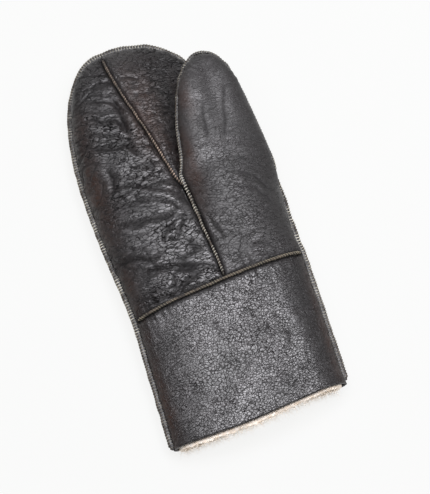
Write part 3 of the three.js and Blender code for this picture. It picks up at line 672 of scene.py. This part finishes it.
# The leather is drawn down into each seam, where its swells flatten, and puckers away from it. Its dark is
# painted shade in the groove beside the seam.
seamPull = {
    "dip": {"side_seam": 1.5, "palm_cuff_seam": 1.6, "back_cuff_seam": 1.2, "back_seam": 1.2},
    "otherDip": 1.7, "dipWidth": 2.4, "flatten": 0.85, "dark": 0.97, "darkSpread": 0.7,
    "puckerDepth": 1.0, "puckerReach": 8.5, "puckerFade": 1.5, "pitch": 3.6, "ripple": 1.3, "spread": 13,
    "apart": 3.7, "reach": 24,
}


def seamsAt(points):
    dips = np.zeros(len(points))
    depths = np.zeros(len(points))
    puckers = np.zeros(len(points))
    for i, (x, y, z) in enumerate(points.tolist()):
        index, distance = seamFinder.find((x * mm, y * mm, z * mm))[1:]
        away = distance / mm
        if away > seamPull["reach"]:
            continue
        name, step = seamPlaces[index][1:]
        dips[i] = math.exp(-((away / seamPull["dipWidth"]) ** 2))
        depths[i] = seamPull["dip"].get(name, seamPull["otherDip"])
        along = step * routeStep / seamPull["pitch"] * seamPull["ripple"]
        wave = noise.noise((along, away / seamPull["spread"], seamNames.index(name) * seamPull["apart"]))
        fade = math.exp(-((away / seamPull["puckerReach"]) ** seamPull["puckerFade"]))
        puckers[i] = wave * fade * (1 - dips[i])
    return dips, depths, puckers


outerPalmFolds = [
    {"route": [(-50, 115), (-42, 111), (-32, 107), (-28, 100)], "depth": 0.7, "width": 1.6},
    {"route": [(-31, 112), (-30, 98), (-30, 89), (-28, 80)], "depth": 1.2, "width": 3.5},
    {
        "route": [(-63, 81), (-51, 76), (-39, 72), (-32, 72), (-28, 66), (-21, 58)],
        "depth": 1.3, "width": 1.7,
    },
    {"route": [(-60, 102), (-45, 96), (-35, 95), (-29, 84), (-29, 75)], "depth": 1.0, "width": 1.9},
    {
        "route": [(-60, 42), (-51, 42), (-43, 43), (-31, 38), (-17, 29), (-8, 27)],
        "depth": 1.0, "width": 1.5,
    },
    {"route": [(-54, 29), (-42, 26), (-27, 26), (-11, 17), (-5, 13)], "depth": 0.9, "width": 1.4},
    {"route": [(-4, 9), (-16, 4), (-26, -3), (-29, -10)], "depth": 1.0, "width": 1.4},
    {"route": [(-5, 8), (-19, 9), (-31, 10), (-54, 13), (-62, 10)], "depth": 1.0, "width": 1.6},
    {"route": [(-4, 9), (-13, 0), (-18, -11)], "depth": 0.8, "width": 1.3},
    {"route": [(-65, -5), (-60, -10), (-45, -16), (-40, -18), (-30, -14)], "depth": 1.1, "width": 1.8},
    {"route": [(-57, -30), (-43, -26), (-27, -26), (-12, -31), (0, -33)], "depth": 1.2, "width": 1.9},
    {
        "route": [(-62, -50), (-52, -46), (-37, -46), (-26, -45), (-14, -36), (-4, -35)],
        "depth": 1.3, "width": 1.8,
    },
    {"route": [(-61, -40), (-52, -41), (-44, -46)], "depth": 0.9, "width": 1.5},
    {"route": [(-50, 60), (-48, 50), (-52, 38)], "depth": 0.7, "width": 2.4},
]
innerPalmFolds = [
    {"route": [(-24, 124), (-15, 123), (-7, 119)], "depth": 0.5, "width": 1.6},
    {"route": [(-20, 110), (-10, 108), (2, 104)], "depth": 0.35, "width": 1.4},
    {"route": [(-8, 96), (2, 94), (8, 90)], "depth": 0.35, "width": 1.2},
    {"route": [(-10, 84), (0, 82), (6, 79)], "depth": 0.3, "width": 1.2},
]
thumbFolds = [
    {"route": [(47, 96), (42, 78), (40, 66), (31, 45)], "depth": 0.45, "width": 3.2},
    {"route": [(29, 85), (24, 66), (23, 50)], "depth": 0.15, "width": 3.0},
    {"route": [(7, 2), (11, -8), (15, -20)], "depth": 0.8, "width": 1.6},
    {"route": [(33, 28), (47, 21), (58, 7)], "depth": 0.6, "width": 1.8},
    {"route": [(30, 18), (47, 12), (58, -4)], "depth": 0.5, "width": 1.6},
    {"route": [(25, -37), (34, -33), (47, -35), (56, -33)], "depth": 0.9, "width": 1.4},
    {"route": [(21, -41), (32, -38), (46, -40)], "depth": 0.7, "width": 1.2},
    {"route": [(28, -30), (38, -27), (50, -30)], "depth": 0.6, "width": 1.4},
]
cuffFolds = [
    {"route": [(-20, -120), (0, -104), (12, -84)], "depth": 0.5, "width": 5.0},
    {"route": [(34, -70), (40, -90), (42, -108)], "depth": 0.5, "width": 4.0},
]


# Each relief gives the rise of the skin, the dark lines of its folds, which are painted shade, and how
# creased its surface is.
outerPalmForm = {
    "foldShare": 0.85, "swell": {"size": (24, 15, 24), "shift": 2.0}, "swellHeight": 0.4,
    "long": {"size": (30, 11, 30), "width": 0.055, "bend": 0.5}, "longDepth": 0.8, "leastLong": 0.35,
    "short": {"size": (16, 8, 16), "width": 0.06, "bend": 0.6, "shift": 4.0},
    "shortDepth": 0.3, "leastShort": 0.3, "shortDark": 0.6, "dark": 0.85,
    "gather": {"size": (34, 30, 34), "shift": 12.0}, "gatherRange": (-0.25, 0.35), "leastCreased": 0.65,
}


def outerPalmRelief(points):
    form = outerPalmForm
    rise, line = foldsAt(points, outerPalmFolds)
    long = creasesAt(points, **form["long"])
    short = creasesAt(points, **form["short"])
    gathered = stepAt(*form["gatherRange"], bumpsAt(points, **form["gather"]))
    rise = form["foldShare"] * rise + form["swellHeight"] * bumpsAt(points, **form["swell"])
    rise -= form["longDepth"] * long * fromLeast(form["leastLong"], gathered)
    rise -= form["shortDepth"] * short * fromLeast(form["leastShort"], gathered)
    dark = form["dark"] * np.maximum(long, form["shortDark"] * short)
    return rise, np.maximum(line, dark), fromLeast(form["leastCreased"], gathered)


# The forefinger's side is drawn into short creases towards the thumb, where the panel lies open.
innerPalmForm = {
    "swell": {"size": (20, 14, 20), "shift": 5.0}, "swellHeight": 0.6,
    "drawn": {"size": (12, 3.6, 12), "width": 0.16, "bend": 0.6, "shift": 2.0},
    "drawnDepth": 0.25, "drawnAtThumb": 0.35, "dark": 0.7, "leastCreased": 0.7, "nearThumb": (-14, 6),
    "openAlong": (40, 70), "openAcross": (6, 18), "crotch": 60, "lean": 0.12,
}


def innerPalmRelief(points):
    form = innerPalmForm
    x, y = points[:, 0], points[:, 1]
    rise, line = foldsAt(points, innerPalmFolds)
    drawn = creasesAt(points, **form["drawn"])
    across = x - (y - form["crotch"]) * form["lean"]
    seen = stepAt(*form["openAlong"], y) * (1 - stepAt(*form["openAcross"], across))
    nearThumb = stepAt(*form["nearThumb"], x)
    rise += form["swellHeight"] * bumpsAt(points, **form["swell"])
    rise -= (form["drawnDepth"] + form["drawnAtThumb"] * nearThumb) * drawn
    line = np.maximum(line, form["dark"] * nearThumb * drawn)
    return rise * seen, line * seen, fromLeast(form["leastCreased"], nearThumb)


thumbForm = {
    "foldShare": 0.6, "swell": {"size": (22, 16, 22), "shift": 9.0}, "swellHeight": 0.3,
    "drawn": {"size": (16, 5, 16), "width": 0.1, "bend": 0.6, "shift": 6.0}, "drawnDepth": 0.16,
    "smoothTowards": (5, 75), "dark": 0.6, "leastCreased": 0.6,
}


def thumbRelief(points):
    form = thumbForm
    rise, line = foldsAt(points, thumbFolds)
    lower = 1 - stepAt(*form["smoothTowards"], points[:, 1])
    rise = form["foldShare"] * rise + form["swellHeight"] * bumpsAt(points, **form["swell"])
    rise -= form["drawnDepth"] * creasesAt(points, **form["drawn"]) * lower
    return rise, form["dark"] * line, fromLeast(form["leastCreased"], lower)


backForm = {
    "long": {"size": (24, 20, 24), "width": 0.09, "bend": 0.6, "shift": 1.0}, "longDepth": 0.9,
    "short": {"size": (11, 10, 11), "width": 0.12, "bend": 0.6, "shift": 7.0}, "shortDepth": 0.5,
    "longDark": 0.8, "shortDark": 0.5,
}


def backRelief(points):
    form = backForm
    long = creasesAt(points, **form["long"])
    short = creasesAt(points, **form["short"])
    line = np.maximum(form["longDark"] * long, form["shortDark"] * short)
    return -form["longDepth"] * long - form["shortDepth"] * short, line, np.ones(len(points))


cuffForm = {
    "swell": {"size": (30, 24, 30), "shift": 3.0}, "swellHeight": 0.35,
    "drawn": {"size": (12, 9, 12), "width": 0.1, "bend": 0.6, "shift": 5.0}, "drawnDepth": 0.2,
    "group": {"size": (26, 26, 26), "shift": 6.0}, "groupRange": (-0.5, 0.3), "leastCreased": 0.75,
}


def cuffRelief(points):
    form = cuffForm
    rise = foldsAt(points, cuffFolds)[0] + form["swellHeight"] * bumpsAt(points, **form["swell"])
    rise -= form["drawnDepth"] * creasesAt(points, **form["drawn"])
    grouped = stepAt(*form["groupRange"], bumpsAt(points, **form["group"]))
    return rise, np.zeros(len(points)), fromLeast(form["leastCreased"], grouped)


# Where the finish is rubbed brown: patches with their middle, reach and strength.
wornPatches = [
    {"middle": (-64, 40), "reach": (9, 40), "strength": 0.8},
    {"middle": (-62, 95), "reach": (10, 16), "strength": 0.45},
    {"middle": (-13, 88), "reach": (12, 36), "strength": 0.9},
    {"middle": (16, 92), "reach": (5, 18), "strength": 0.6},
    {"middle": (6, 40), "reach": (6, 30), "strength": 0.75},
    {"middle": (-62, -122), "reach": (6.5, 44), "strength": 1.0},
    {"middle": (-59, -60), "reach": (4, 30), "strength": 0.5},
    {"middle": (-60, -30), "reach": (6, 24), "strength": 0.6},
    {"middle": (66, -90), "reach": (4, 50), "strength": 0.6},
]
wornLook = {
    "broad": {"size": (7, 9, 7), "shift": 4.0}, "broadShare": 0.45,
    "fine": {"size": (2.5, 2.5, 2.5), "shift": 2.0}, "fineShare": 0.2, "contrast": 1.6, "least": 0.06,
}


def wornAt(points):
    total = np.zeros(len(points))
    for patch in wornPatches:
        dx = (points[:, 0] - patch["middle"][0]) / patch["reach"][0]
        dy = (points[:, 1] - patch["middle"][1]) / patch["reach"][1]
        total = np.maximum(total, patch["strength"] * np.exp(-(dx * dx + dy * dy)))
    mottled = wornLook["broadShare"] * bumpsAt(points, **wornLook["broad"])
    mottled += wornLook["fineShare"] * bumpsAt(points, **wornLook["fine"])
    return np.clip(total * (1 + mottled * wornLook["contrast"]) + wornLook["least"], 0, 1)


def addValues(mesh, name, values):
    layer = mesh.attributes.new(name, "FLOAT", "POINT")
    layer.data.foreach_set("value", values.astype(np.float32))


def finishPiece(name, mesh, slot, *replaced):
    piece = addObject(name, mesh)
    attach(piece, "root")
    if replaced:
        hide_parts(*replaced)


tableGap = 0.02  # how far the underside stays above the table


def makePanel(nodeName, pieceName, relief, material, slot, rests=False):
    mesh = smoothPanel(nodeName)
    points = places(mesh)
    out = outwardAt(mesh)
    dips, depths, puckers = seamsAt(points)
    wave, line, creased = relief(points)
    lift = wave * (1 - seamPull["flatten"] * dips) - dips * depths + seamPull["puckerDepth"] * puckers
    moved = points + out * lift[:, None]
    moved[:, 0] += [fullerPush(x, y) for x, y in points[:, :2]]
    if rests:
        moved[:, 2] = np.maximum(moved[:, 2], tableGap)
    mesh.vertices.foreach_set("co", (moved * mm).ravel())
    mesh.update()
    # Painted shade along the seam grooves and in the fold valleys, kept as the sunk attribute
    seamDark = seamPull["dark"] * dips ** seamPull["darkSpread"]
    addValues(mesh, "worn", wornAt(points))
    addValues(mesh, "sunk", np.clip(np.maximum(seamDark, foldLook["dark"] * line), 0, 1))
    addValues(mesh, "creased", creased)
    mesh.materials.clear()
    for finish in (material, fleeceMaterial, edgeMaterial):
        mesh.materials.append(finish)
    finishPiece(pieceName, mesh, slot, nodeName)
    print(pieceName, len(mesh.polygons), "faces")


makePanel("outer_palm_panel", "outerPalm", outerPalmRelief, palmLeather, "nappa_leather")
makePanel("inner_palm_panel", "innerPalm", innerPalmRelief, innerLeather, "nappa_leather")
makePanel("thumb_panel", "thumbFront", thumbRelief, thumbLeather, "nappa_leather")
makePanel("outer_back_panel", "outerBack", backRelief, backLeather, "nappa_leather", True)
makePanel("inner_back_panel", "innerBack", backRelief, backLeather, "nappa_leather", True)
makePanel("palm_cuff_panel", "palmCuff", cuffRelief, cuffLeather, "cuff_leather")
makePanel("back_cuff_panel", "backCuff", backRelief, backLeather, "cuff_leather", True)


# Overcast seams: two raw edges side by side stand out as a welt, and thread is whipped over them.
welts = {
    "side_seam": {"tall": 2.2, "wide": 2.5, "thread": 0.42},
    "thumb_seam": {"tall": 1.0, "wide": 1.5, "thread": 0.32},
    "palm_seam": {"tall": 0.9, "wide": 1.25, "thread": 0.36},
    "palm_cuff_seam": {"tall": 1.1, "wide": 2.0, "thread": 0.28},
    "back_cuff_seam": {"tall": 1.2, "wide": 2.4, "thread": 0.32},
    "back_seam": {"tall": 1.2, "wide": 2.0, "thread": 0.3},
}
weltForm = {
    "pitch": 2.1, "root": 1.9, "slant": 0.5, "endLength": 3.5, "endSize": 0.4, "square": 0.45,
    "pinchTall": 0.1, "pinchWide": 0.06, "wobbleTall": 0.18, "wobbleWide": 0.12, "drift": 0.25,
    "wobblePace": 0.11, "wobbleApart": 5.3, "wobbleShift": 2.5, "weldDistance": 0.01,
}
# The welt's section as shares of its width and height: two rounded edges with a groove between them
weltProfile = [
    (-0.5, 0.0), (-0.52, 0.45), (-0.46, 0.8), (-0.3, 0.97), (-0.1, 1.0), (0.0, 0.86),
    (0.1, 1.0), (0.3, 0.97), (0.46, 0.8), (0.52, 0.45), (0.5, 0.0), (-0.5, 0.0),
]
rawColumns = (2, 8)  # the top of the welt is raw edge, and its flanks are the dark skin
stitchForm = {
    "sides": 5, "steps": 8, "weldDistance": 0.0001, "jitter": 0.12, "half": 0.54, "proud": 0.4,
    "bareSteps": 2,
}
threadOf = {"side_seam": paleThread, "thumb_seam": paleThread, "palm_seam": rosyThread}


# The seam's foot, drawn out with the thumb's side, and its ways out, across and along.
def crossing(route, i):
    foot, out = route[i]
    along = (route[min(i + 1, len(route) - 1)][0] - route[max(i - 1, 0)][0]).normalized()
    across = along.cross(out).normalized()
    drawnOut = Vector((fullerPush(foot.x / mm, foot.y / mm) * mm, 0, 0))
    return foot + drawnOut, across.cross(along).normalized(), across, along


# The welt's height, width and sideways drift at one step: pinched by each stitch and smaller at its ends.
def weltSize(nodeName, i):
    shape = welts[nodeName]
    pinch = math.cos(2 * math.pi * i * routeStep / weltForm["pitch"])
    lane = seamNames.index(nodeName) * weltForm["wobbleApart"]
    wobble = noise.noise((i * weltForm["wobblePace"], lane, weltForm["wobbleShift"]))
    fromEnd = min(i, len(routes[nodeName]) - 1 - i) * routeStep / weltForm["endLength"]
    ending = fromLeast(weltForm["endSize"], min(1, fromEnd))
    tall = shape["tall"] * (1 + weltForm["pinchTall"] * pinch + weltForm["wobbleTall"] * wobble) * ending
    wide = shape["wide"] * (1 + weltForm["pinchWide"] * pinch + weltForm["wobbleWide"] * wobble) * ending
    return tall, wide, weltForm["drift"] * wobble


def makeWelt(nodeName, pieceName):
    route = routes[nodeName]
    steps, around = len(route), len(weltProfile)
    bm = bmesh.new()
    bmesh.ops.create_grid(bm, x_segments=steps - 1, y_segments=around - 1, size=1)
    columns = {}
    for v in bm.verts:
        i = round((v.co.x + 1) / 2 * (steps - 1))
        columns[v] = round((v.co.y + 1) / 2 * (around - 1))
        foot, out, across = crossing(route, i)[:3]
        tall, wide, drift = weltSize(nodeName, i)
        side, up = weltProfile[columns[v]]
        height = up * (tall + weltForm["root"]) - weltForm["root"]
        v.co = foot + across * (side * wide + drift) * mm + out * height * mm
    for face in bm.faces:
        face.smooth = True
        spot = [columns[v] for v in face.verts]
        face.material_index = 0 if rawColumns[0] <= min(spot) and max(spot) <= rawColumns[1] else 1
    # The profile's last column closes on its first, and then the two ends are closed
    bmesh.ops.remove_doubles(bm, verts=bm.verts, dist=weltForm["weldDistance"] * mm)
    bmesh.ops.holes_fill(bm, edges=[e for e in bm.edges if e.is_boundary])
    bmesh.ops.recalc_face_normals(bm, faces=bm.faces)
    mesh = meshFrom(bm, pieceName)
    mesh.materials.append(edgeMaterial)
    mesh.materials.append(thumbLeather)
    finishPiece(pieceName, mesh, "bound_edge", nodeName)
    print(pieceName, len(mesh.polygons), "faces")


# One stitch is half a ring of thread, spun from a small circle, to be squared over the welt.
def makeArch(radius):
    bm = bmesh.new()
    bmesh.ops.create_circle(bm, segments=stitchForm["sides"], radius=radius)
    bmesh.ops.translate(bm, verts=bm.verts, vec=(-1, 0, 0))
    bmesh.ops.spin(bm, geom=bm.verts[:] + bm.edges[:], angle=math.pi, steps=stitchForm["steps"],
                   axis=(0, 1, 0), cent=(0, 0, 0))
    bmesh.ops.remove_doubles(bm, verts=bm.verts, dist=stitchForm["weldDistance"])
    bmesh.ops.holes_fill(bm, edges=[e for e in bm.edges if e.is_boundary])
    return meshFrom(bm, "arch")


# Squares the arch's round corners, as thread lies over a welt.
def squared(turn):
    return math.copysign(abs(turn) ** weltForm["square"], turn)


def makeStitches(nodeName, pieceName):
    shape, route = welts[nodeName], routes[nodeName]
    arch = makeArch(shape["thread"])
    proud = stitchForm["proud"] * shape["thread"]
    bare = stitchForm["bareSteps"]
    bm = bmesh.new()
    for i in range(bare, len(route) - bare, round(weltForm["pitch"] / routeStep)):
        foot, out, across, along = crossing(route, i)
        tall, wide, drift = weltSize(nodeName, i)
        slant = weltForm["slant"] + random.uniform(-stitchForm["jitter"], stitchForm["jitter"])
        slanted = (across + along * slant).normalized()
        lengthwise = out.cross(slanted).normalized()
        half = stitchForm["half"] * wide + proud
        top = tall + weltForm["root"] + proud
        root = foot + across * drift * mm - out * weltForm["root"] * mm
        before = len(bm.verts)
        bm.from_mesh(arch)
        bm.verts.ensure_lookup_table()
        for v in bm.verts[before:]:
            angle = math.atan2(v.co.z, v.co.x)
            c, s = math.cos(angle), math.sin(angle)
            bulge = math.hypot(v.co.x, v.co.z) - 1
            side = squared(c) * half + c * bulge
            height = squared(s) * top + s * bulge
            v.co = root + (slanted * side + lengthwise * v.co.y + out * height) * mm
    for face in bm.faces:
        face.smooth = True
    bmesh.ops.recalc_face_normals(bm, faces=bm.faces)
    mesh = meshFrom(bm, pieceName)
    mesh.materials.append(threadOf.get(nodeName, soiledThread))
    finishPiece(pieceName, mesh, "bound_edge")
    print(pieceName, len(mesh.polygons), "faces")


for nodeName, seam in (
    ("side_seam", "side"), ("thumb_seam", "thumb"), ("palm_seam", "palm"),
    ("palm_cuff_seam", "palmCuff"), ("back_cuff_seam", "backCuff"), ("back_seam", "back"),
):
    makeWelt(nodeName, seam + "Welt")
    makeStitches(nodeName, seam + "Stitches")


# Wool inside the cuff, and loose fibres round its mouth. Lean and bend are each a middle and a spread
# across, along and up.
fleece = {
    "tuftSize": 4.0, "tuftDepth": 1.1, "smallTufts": 0.5, "drawnBack": 0.4, "freeFrom": (0.8, 3.0),
    "strands": 3600, "strandLength": (2.5, 6.0), "strandWidth": 0.16, "strandReach": 62, "facing": -0.25,
    "lean": ((0, 0.45), (-0.2, 0.3), (-0.1, 0.45)), "bend": ((0, 0.35), (0, 0.2), (-0.25, 0.3)),
    "root": 0.5, "tip": 0.08, "joints": 2, "offTable": 0.1,
}


def makeFleece():
    mesh = roundedMesh(joinedCopy("cuff_fleece_lining"), "fleece")
    points = places(mesh)
    normals = np.array([v.normal for v in mesh.vertices])
    size = [fleece["tuftSize"]] * 3
    smallSize = [fleece["tuftSize"] / 2] * 3
    tufts = bumpsAt(points, size) + fleece["smallTufts"] * bumpsAt(points, smallSize, 3.0)
    # Tufts stand only where the wool is free: beside the leather it is drawn back
    toLeather = np.array([leatherShell.find_nearest(p)[3] for p in (points * mm).tolist()]) / mm
    free = stepAt(*fleece["freeFrom"], toLeather)
    rise = tufts * fleece["tuftDepth"] * free - fleece["drawnBack"] * (1 - free)
    mesh.vertices.foreach_set("co", ((points + normals * rise[:, None]) * mm).ravel())
    mesh.update()
    mesh.materials.append(fleeceMaterial)
    finishPiece("fleece", mesh, "cream_fleece", "cuff_fleece_lining")
    return mesh


def randomWay(spreads):
    return Vector([random.gauss(middle, spread) for middle, spread in spreads])


def makeStrands(under):
    strand = bmesh.new()
    bmesh.ops.create_cone(strand, segments=3, radius1=fleece["root"], radius2=fleece["tip"], depth=1,
                          cap_ends=True)
    bmesh.ops.translate(strand, verts=strand.verts, vec=(0, 0, 0.5))
    sides = [e for e in strand.edges if abs(e.verts[0].co.z - e.verts[1].co.z) > 0.5]
    bmesh.ops.subdivide_edges(strand, edges=sides, cuts=fleece["joints"])
    template = meshFrom(strand, "strand")
    # Fibres grow where the wool faces the cuff's mouth
    reach = fleece["strandReach"] * mm
    faces = [f for f in under.polygons if f.normal.y < fleece["facing"] and abs(f.center.x) < reach]
    bm = bmesh.new()
    for face in random.choices(faces, [f.area for f in faces], k=fleece["strands"]):
        way = (Vector(face.normal) + randomWay(fleece["lean"])).normalized()
        length = random.uniform(*fleece["strandLength"])
        bend = randomWay(fleece["bend"])
        turn = way.to_track_quat("Z", "Y").to_matrix()
        before = len(bm.verts)
        bm.from_mesh(template)
        bm.verts.ensure_lookup_table()
        for v in bm.verts[before:]:
            x, y, z = v.co
            side = turn @ Vector((x, y, 0)) * fleece["strandWidth"] * mm
            v.co = face.center + side + (way * z + bend * z * z) * length * mm
            v.co.z = max(v.co.z, fleece["offTable"] * mm)
    mesh = meshFrom(bm, "fleeceFibres")
    mesh.materials.append(fleeceMaterial)
    finishPiece("fleeceFibres", mesh, "cream_fleece")
    print("fibres", len(mesh.polygons), "faces")


makeStrands(makeFleece())
